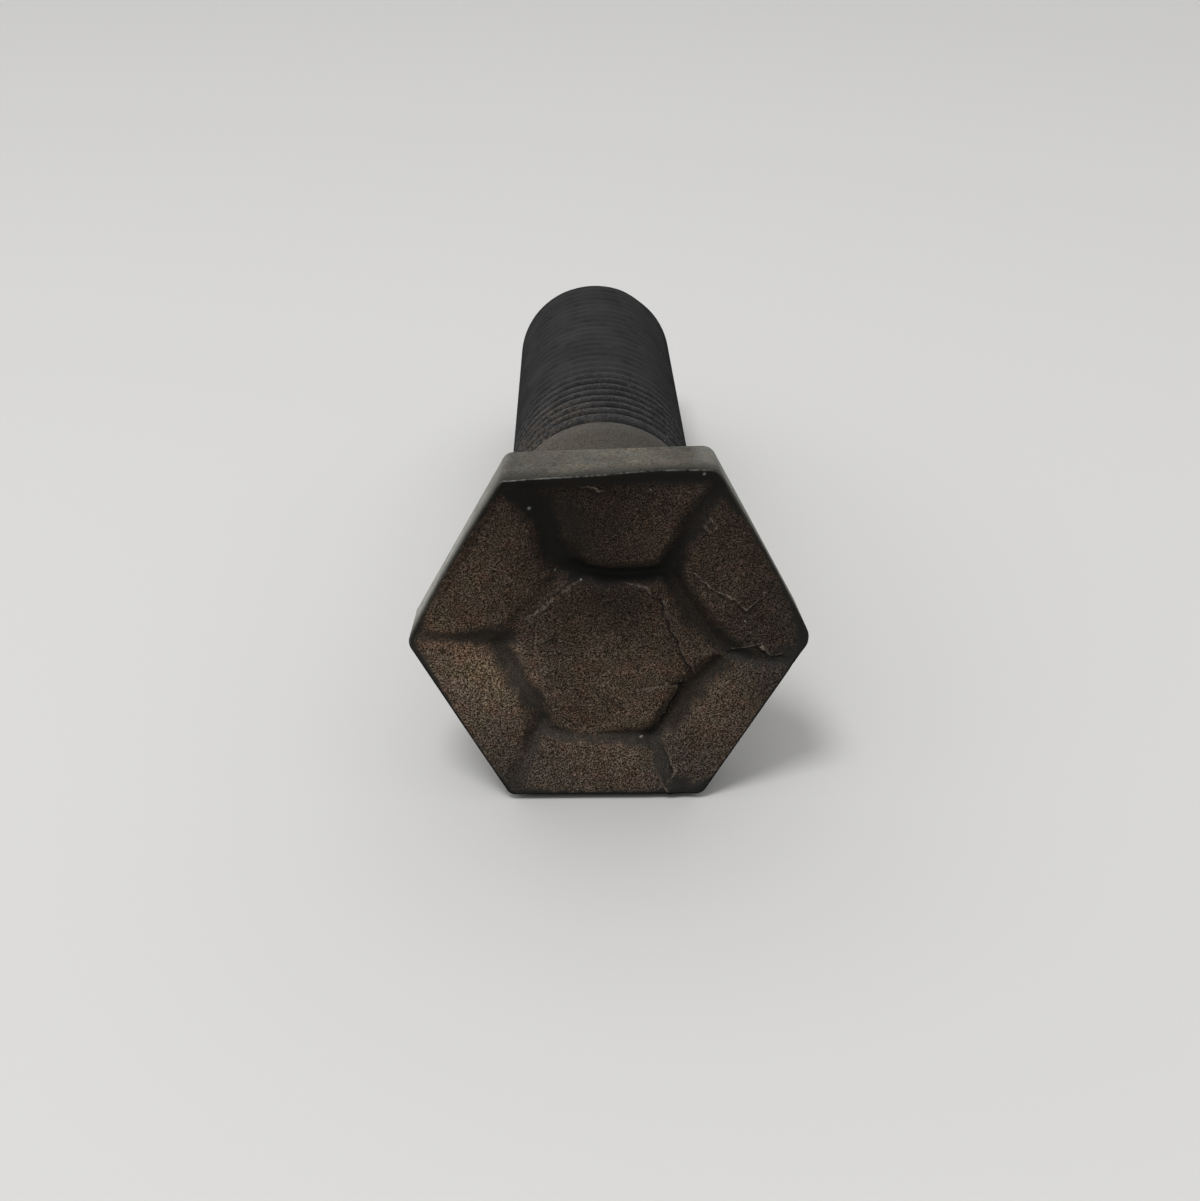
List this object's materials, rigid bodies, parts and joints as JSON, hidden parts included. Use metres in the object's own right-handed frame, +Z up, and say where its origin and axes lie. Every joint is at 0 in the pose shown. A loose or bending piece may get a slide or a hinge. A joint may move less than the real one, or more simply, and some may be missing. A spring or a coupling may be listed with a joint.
{
  "type": "hex head bolt",
  "caption": "Short machine bolt with a thin forged hexagonal head, its face dished between six pads, a plain neck and a fine thread.",
  "frame": {"origin": "on the surface that the bolt lies on, under the middle of its bounding box", "axes": "+Z up, the head faces -Y, the shank runs towards +Y and slopes 4.2 degrees down to its end, +X to the right seen over the head"},
  "size_m": [0.0218, 0.0548, 0.0192],
  "materials": {
    "steel": "dark forged and rolled steel, matt, with brown surface rust on the head's face"
  },
  "bodies": {
    "root": {"hex_bolt": "steel"}
  },
  "joints": []
}
